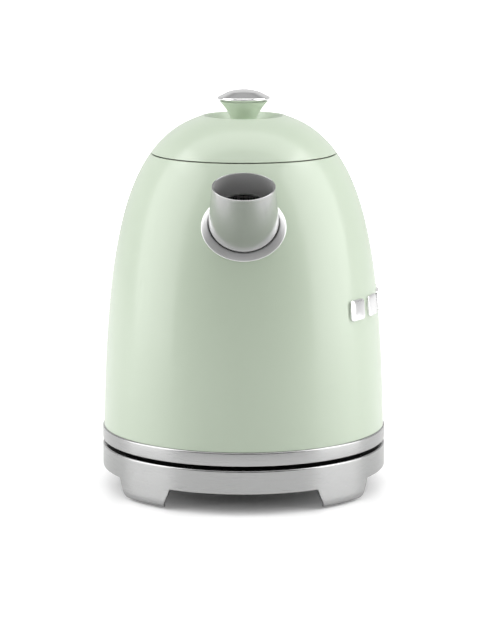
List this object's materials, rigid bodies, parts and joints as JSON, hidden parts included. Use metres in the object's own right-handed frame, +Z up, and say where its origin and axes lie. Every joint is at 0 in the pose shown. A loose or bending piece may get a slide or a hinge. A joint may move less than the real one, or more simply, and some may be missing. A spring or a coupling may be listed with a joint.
{
  "type": "kettle",
  "caption": "Domed cordless kettle with a hinged lid, short wide spout and rear handle, which lifts off and turns on a separate powered base.",
  "frame": {"origin": "centre of the footprint on the floor, on the kettle's round axis", "axes": "+Z up, spout towards -Y, handle towards +Y, raised bars on the +X side"},
  "size_m": [0.171, 0.2341, 0.2396],
  "materials": {
    "painted_steel": "semi-gloss enamel",
    "painted_handle": "semi-gloss",
    "brushed_metal": "brushed round the axis",
    "chrome": "polished",
    "steel": "satin",
    "aluminium": "rolled",
    "element_metal": "heat-dulled",
    "brass": "satin",
    "black_plastic": "moulded",
    "grey_plastic": "moulded",
    "white_plastic": "moulded",
    "silicone": "matt",
    "rubber": "matt"
  },
  "bodies": {
    "power_base": {"base_ring": "brushed_metal", "base_chassis": "grey_plastic", "base_deck": "black_plastic", "base_socket": "black_plastic", "socket_contacts": "brass", "cord_gland": "rubber", "rubber_feet": "rubber", "base_screws": "steel"},
    "pin": {"centre_pin": "brass"},
    "kettle": {"body_shell": "painted_steel", "lid_seat_ring": "black_plastic", "bottom_trim_ring": "brushed_metal", "bottom_cover": "black_plastic", "cover_screws": "steel", "control_housing": "white_plastic", "kettle_contacts": "brass", "heater_plate": "steel", "plate_seal": "silicone", "heat_diffuser": "aluminium", "heating_element": "element_metal", "element_terminals": "brass", "bimetal_discs": "element_metal", "steam_tube": "white_plastic", "tube_grommet": "silicone", "spout": "brushed_metal", "spout_flange": "chrome", "filter_clips": "black_plastic", "handle_shell": "painted_handle", "handle_inner_cover": "black_plastic", "handle_screws": "steel", "switch_housing": "black_plastic", "lever_pin": "steel", "hinge_bracket": "steel", "hinge_pin": "steel", "raised_bars": "chrome"},
    "lid": {"lid_cover": "painted_steel", "lid_inner_plate": "steel", "lid_seal": "silicone", "lid_hinge_arm": "steel", "lid_knob": "painted_handle", "knob_cap": "chrome", "knob_screw": "steel"},
    "switch": {"switch_lever": "black_plastic"},
    "trip": {"trip_rod": "steel"},
    "filter": {"filter_frame": "black_plastic", "filter_mesh": "steel"}
  },
  "joints": [
    {"name": "kettle_lift", "type": "slide", "parent": "power_base", "child": "pin", "axis": [0, 0, 1], "range_m": [0, 0.08]},
    {"name": "kettle_swivel", "type": "hinge", "parent": "pin", "child": "kettle", "pos_m": [0, 0, 0.04], "axis": [0, 0, 1], "continuous": true},
    {"name": "lid_hinge", "type": "hinge", "parent": "kettle", "child": "lid", "pos_m": [0, 0.06, 0.205], "axis": [-1, 0, 0], "range_deg": [0, 80]},
    {"name": "switch_rock", "type": "hinge", "parent": "kettle", "child": "switch", "pos_m": [0, 0.09, 0.059], "axis": [-1, 0, 0], "range_deg": [0, 15]},
    {"name": "trip_rod_slide", "type": "slide", "parent": "kettle", "child": "trip", "axis": [0, -1, 0], "range_m": [0, 0.0035], "stiffness_N_per_m": 60, "springref_m": -0.001},
    {"name": "filter_release", "type": "slide", "parent": "kettle", "child": "filter", "axis": [0, 1, 0], "range_m": [0, 0.03]}
  ],
  "couplings": [
    {"joint": "switch_rock", "follows": "trip_rod_slide", "rad_per_m": 74.8}
  ]
}
